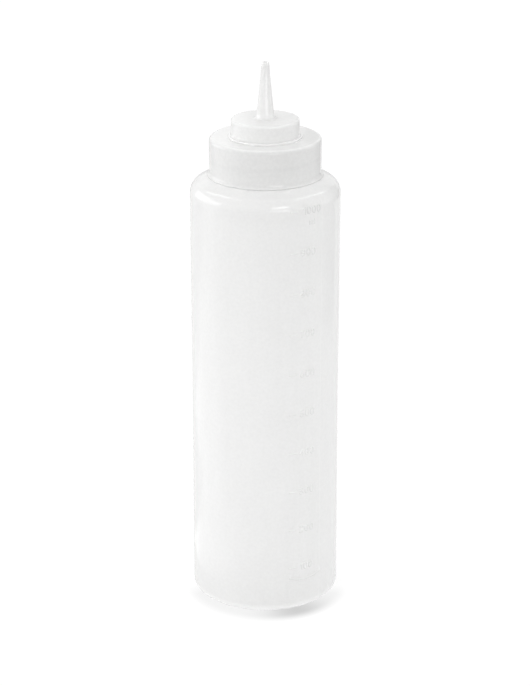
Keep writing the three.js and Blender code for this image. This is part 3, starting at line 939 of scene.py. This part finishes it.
def foot_shade(tree):
    """How much the floor darkens round the foot. It falls off with the distance from a centre in front of
    the axis, from full to none in an eased step. Its strength is a ring's, which fades towards the back, plus
    a side's, a power of the cosine of the angle from the azimuth where the shade is deepest."""
    centred = tree.nodes.new("ShaderNodeVectorMath")
    centred.operation = "SUBTRACT"
    tree.links.new(tree.nodes.new("ShaderNodeTexCoord").outputs["Object"], centred.inputs[0])
    centred.inputs[1].default_value = SHADE_CENTRE
    place = centred.outputs[0]
    length = tree.nodes.new("ShaderNodeVectorMath")
    length.operation = "LENGTH"
    tree.links.new(place, length.inputs[0])
    across = tree.nodes.new("ShaderNodeSeparateXYZ")
    tree.links.new(place, across.inputs[0])
    away = length.outputs["Value"]
    falloff = tree.nodes.new("ShaderNodeMapRange")
    falloff.interpolation_type = "SMOOTHSTEP"
    wire(tree, falloff, Value=away, From_Min=SHADE_FROM, From_Max=SHADE_TO, To_Min=1.0, To_Max=0.0)
    front = sums(tree, "DIVIDE", across.outputs[1], away)
    right = sums(tree, "DIVIDE", across.outputs[0], away)
    fade = sums(tree, "MINIMUM", sums(tree, "MULTIPLY", front, -RING_FADE), 1.0)
    ring = sums(tree, "MULTIPLY", fade, SHADE_RING)
    rightward = sums(tree, "MULTIPLY", right, np.sin(SHADE_AZIMUTH))
    lean = sums(tree, "SUBTRACT", rightward, sums(tree, "MULTIPLY", front, np.cos(SHADE_AZIMUTH)))
    peak = sums(tree, "POWER", sums(tree, "MAXIMUM", lean, 0.0), SHADE_POWER)
    side = sums(tree, "MULTIPLY", peak, SHADE_SIDE)
    strength = sums(tree, "ADD", sums(tree, "MAXIMUM", ring, SHADE_BACK), side)
    return sums(tree, "MULTIPLY", strength, falloff.outputs[0])


print("shade from", round(SHADE_FROM / mm), "to", round(SHADE_TO / mm), "mm")

# %% Floor
FLOOR_SIZE = 4.0
FLOOR_SHARE = 0.06
FLOOR_LIGHT = 0.92
FLOOR_IN_GLOSS = 0.9
FLOOR_GAP = 0.05 * mm


def flat(name, corner_places, material):
    """A mesh object of one four-cornered face."""
    mesh = bpy.data.meshes.new(name)
    mesh.from_pydata(corner_places, [], [(0, 1, 2, 3)])
    mesh.materials.append(material)
    plane = bpy.data.objects.new(name, mesh)
    bpy.context.collection.objects.link(plane)
    return plane


paper = bpy.data.materials.new("white_paper")
paper.use_nodes = True
tree = paper.node_tree
under = wire(tree, tree.nodes.new("ShaderNodeEmission"), Color=(1, 1, 1, 1), Strength=FLOOR_LIGHT)
white = wire(tree, tree.nodes.new("ShaderNodeEmission"), Color=(1, 1, 1, 1), Strength=FLOOR_IN_GLOSS)
lift = sums(tree, "SUBTRACT", 1.0 - FLOOR_SHARE / 2, foot_shade(tree))
shade = wire(tree, tree.nodes.new("ShaderNodeBsdfDiffuse"), Color=(FLOOR_SHARE, FLOOR_SHARE, FLOOR_SHARE, 1))
glow = wire(tree, tree.nodes.new("ShaderNodeEmission"), Color=(1, 1, 1, 1), Strength=lift)
both = tree.nodes.new("ShaderNodeAddShader")
tree.links.new(shade.outputs[0], both.inputs[0])
tree.links.new(glow.outputs[0], both.inputs[1])
sheet = white_where_seen(tree, under.outputs[0], both.outputs[0], white.outputs[0])
tree.links.new(sheet, tree.nodes["Material Output"].inputs["Surface"])
s = FLOOR_SIZE
floor = flat("floor", [(-s, -s, 0), (s, -s, 0), (s, s, 0), (-s, s, 0)], paper)
floor.location.z = -FLOOR_GAP
print("floor of", 2 * FLOOR_SIZE, "m made")

# %% [markdown]
# ## Lamps
# Two soft fills light the plastic and aren't reflected: they give the wall its slow change from left to
# right. All other lamps are seen in gloss alone, and tell the shape. The camera looks down, so an upright
# wall reflects the floor, and sheens that lie there lighten its left. A face that leans back reflects what
# stands before it or overhead: the left softbox is the broad light on the shoulder, the front one its short
# dash, the low strip the line up the nozzle, and the band overhead the light on the rims. Two long strips
# behind are bent by the shoulder into strokes that follow its round, and a glow behind lights the flat tops.

# %% Lamp helpers
AIM = Vector((0, 0, 0.16))


def toward(azimuth, elevation):
    """The direction at an azimuth from the front towards +X, and an elevation, both in degrees."""
    a, e = np.radians(azimuth), np.radians(elevation)
    return Vector((np.sin(a) * np.cos(e), -np.cos(a) * np.cos(e), np.sin(e)))


def lamp(name, place, facing, width, height, level, gloss, along=None):
    """A rectangular lamp. Its level is its brightness beside white: an area lamp's power is its brightness
    times its area times pi. With gloss it is seen in reflections alone, and without it lights the plastic and
    isn't reflected. Its width runs level, or as near as it can to the direction that is given."""
    data = bpy.data.lights.new(name, "AREA")
    data.shape = "RECTANGLE"
    data.size, data.size_y = width, height
    data.energy = level * width * height * np.pi
    back = -facing.normalized()
    across = Vector((0, 0, 1)).cross(back) if along is None else along - along.dot(back) * back
    across.normalize()
    piece = bpy.data.objects.new(name, data)
    piece.location = place
    piece.rotation_mode = "QUATERNION"
    piece.rotation_quaternion = Matrix((across, back.cross(across), back)).transposed().to_quaternion()
    piece.visible_camera = False
    piece.visible_diffuse = not gloss
    piece.visible_glossy = gloss
    bpy.context.collection.objects.link(piece)


def softbox(name, azimuth, elevation, distance, width, height, level, gloss):
    """A lamp in a direction from the bottle's middle, that faces it."""
    away = toward(azimuth, elevation)
    lamp(name, AIM + away * distance, -away, width, height, level, gloss)


STRIP_START, STRIP_END = (93, 69.5), (134, 34)
STRIP_DISTANCE = 1.3
STRIP_WIDTH = 0.26
STRIP_LEVEL = 2.3
SHEEN_LIFT = 2 * mm


def shoulder_strip(name, side):
    """A long lamp behind one side, whose reflection is a curved stroke round the shoulder: each end is in the
    direction where the shoulder reflects the camera at one end of the stroke."""
    first, last = toward(side * STRIP_START[0], STRIP_START[1]), toward(side * STRIP_END[0], STRIP_END[1])
    middle = (first + last).normalized()
    length = STRIP_DISTANCE * (last - first).length
    lamp(name, AIM + middle * STRIP_DISTANCE, -middle, length, STRIP_WIDTH, STRIP_LEVEL, True, last - first)


def floor_sheen(name, place, width, height, level):
    """A lamp on the floor that faces up. Upright walls reflect it."""
    place = Vector((*place, SHEEN_LIFT))
    lamp(name, place, Vector((0, 0, 1)), width, height, level, True, Vector((1, 0, 0)))


# %% Place the lamps
softbox("left_fill", -76, 15, 1.2, 1.0, 1.0, 0.74, gloss=False)
softbox("front_fill", 22, 8, 1.6, 1.2, 1.2, 0.34, gloss=False)
softbox("left_softbox", -101, 14.5, 1.1, 1.2, 0.54, 2.0, gloss=True)
softbox("front_softbox", 25, 29.5, 1.3, 0.58, 0.28, 4.4, gloss=True)
softbox("nozzle_strip", 20, 3, 1.2, 0.62, 0.20, 3.6, gloss=True)
softbox("overhead_band", 180, 60, 1.3, 0.7, 0.10, 1.6, gloss=True)
softbox("rear_glow", 196, 27, 1.0, 0.5, 0.24, 0.3, gloss=True)
shoulder_strip("right_strip", 1)
shoulder_strip("left_strip", -1)
floor_sheen("foot_sheen", (-0.12, -0.01), 0.12, 0.12, 0.40)
floor_sheen("near_sheen", (-0.45, 0.06), 0.54, 0.30, 0.32)
floor_sheen("far_sheen", (-0.93, -0.10), 0.42, 1.30, 0.55)
floor_sheen("far_left_sheen", (-0.93, 0.24), 0.42, 0.66, 1.5)

# %% [markdown]
# ## Grey cards
# Glossy plastic that is seen edge-on reflects what stands behind it, and grey cards, which only reflections
# show, give a white bottle on white its darker outline. Upright ones serve the shoulder and the cap, and one
# that hangs behind shades the right of the crown. The wall reflects the floor, so two cards lie there: one
# at the right for its edge, and one before it that takes a little light off its right half.

# %% Grey cards
CARD_LIFT = 1 * mm


def card(name, tone, corner_places):
    """A grey card with a brightness of its own, that only reflections show."""
    grey = bpy.data.materials.new(name)
    grey.use_nodes = True
    tree = grey.node_tree
    dim = wire(tree, tree.nodes.new("ShaderNodeEmission"), Color=(1, 1, 1, 1), Strength=tone)
    tree.links.new(dim.outputs[0], tree.nodes["Material Output"].inputs["Surface"])
    plane = flat(name, corner_places, grey)
    plane.visible_camera = plane.visible_diffuse = plane.visible_shadow = False


def upright(start, end, distance, top, foot=0.0):
    """The corners of an upright card between two azimuths, from its foot to its top."""
    left, right = toward(start, 0) * distance, toward(end, 0) * distance
    return [(*left.xy, foot), (*right.xy, foot), (*right.xy, top), (*left.xy, top)]


def lying(start, end, near, far):
    """The corners of a card that lies on the floor, between two azimuths and two distances."""
    places = ((start, near), (start, far), (end, far), (end, near))
    return [(*(toward(azimuth, 0) * distance).xy, CARD_LIFT) for azimuth, distance in places]


card("right_card", 0.42, upright(118, 150, 0.8, 0.64))
card("back_card", 0.72, upright(155, 205, 0.9, 0.25))
card("rear_card", 0.72, upright(165, 177.6, 0.9, 0.75, 0.45))
card("lying_card", 0.62, lying(98, 130, 0.45, 1.0))
card("front_lying_card", 0.82, lying(15, 75, 0.3, 1.0))

# %% Finish
bpy.context.scene.view_settings.view_transform = "Standard"
